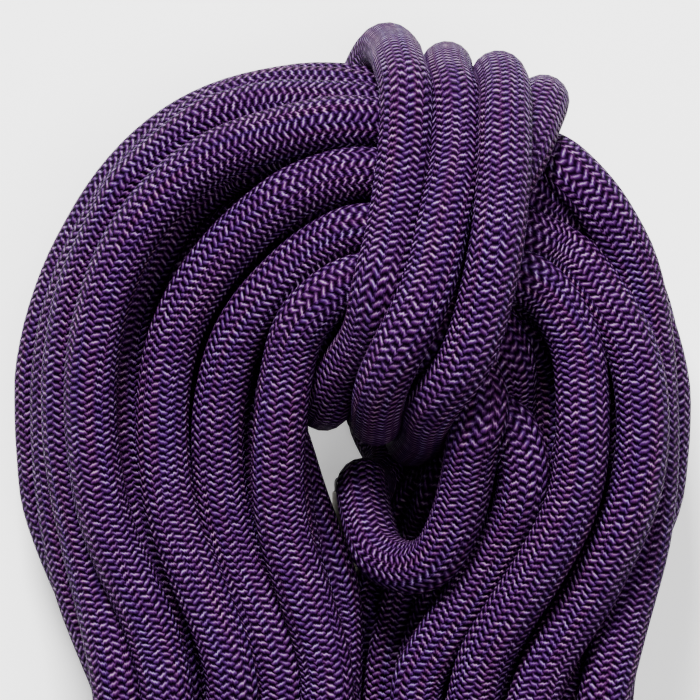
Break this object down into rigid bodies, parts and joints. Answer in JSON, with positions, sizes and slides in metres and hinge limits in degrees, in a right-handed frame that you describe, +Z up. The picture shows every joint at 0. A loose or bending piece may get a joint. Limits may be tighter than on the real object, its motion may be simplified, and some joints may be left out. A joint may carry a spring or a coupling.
{
  "type": "dynamic climbing rope",
  "caption": "Kernmantle dynamic climbing rope tied as a long mountaineer's coil, with finishing wraps at its crown, a tucked inner end and a free outer end.",
  "frame": {"origin": "middle of the coil's footprint, on the ground it lies on", "axes": "+Z up from the ground, +Y along the coil towards the crown with the finishing wraps, +X across it towards the side where the tail runs"},
  "size_m": [0.134, 0.614, 0.076],
  "materials": {
    "sheath": "violet braided polyamide sheath, lilac glints on the yarns and near-black gaps between them",
    "core_yarn": "undyed twisted polyamide yarn",
    "tape": "thin woven identification tape",
    "label": "blank paper-film label",
    "sleeve": "milky heat-shrunk sleeve, faint rings",
    "fused_tip": "melted polyamide, dark and uneven"
  },
  "bodies": {
    "root": {"coil_turns": "sheath", "finishing_wraps": "sheath", "tail_run": "sheath", "lead_run": "sheath", "inner_sheath_end": "sheath", "outer_sheath_end": "sheath", "id_tape": "tape", "inner_label": "label", "outer_label": "label", "inner_sleeve": "sleeve", "outer_sleeve": "sleeve", "inner_tip": "fused_tip", "outer_tip": "fused_tip", "core_strand_01": "core_yarn", "core_strand_02": "core_yarn", "core_strand_03": "core_yarn", "core_strand_04": "core_yarn", "core_strand_05": "core_yarn", "core_strand_06": "core_yarn", "core_strand_07": "core_yarn", "core_strand_08": "core_yarn", "core_strand_09": "core_yarn", "core_strand_10": "core_yarn", "core_strand_11": "core_yarn", "core_strand_12": "core_yarn"}
  },
  "joints": []
}
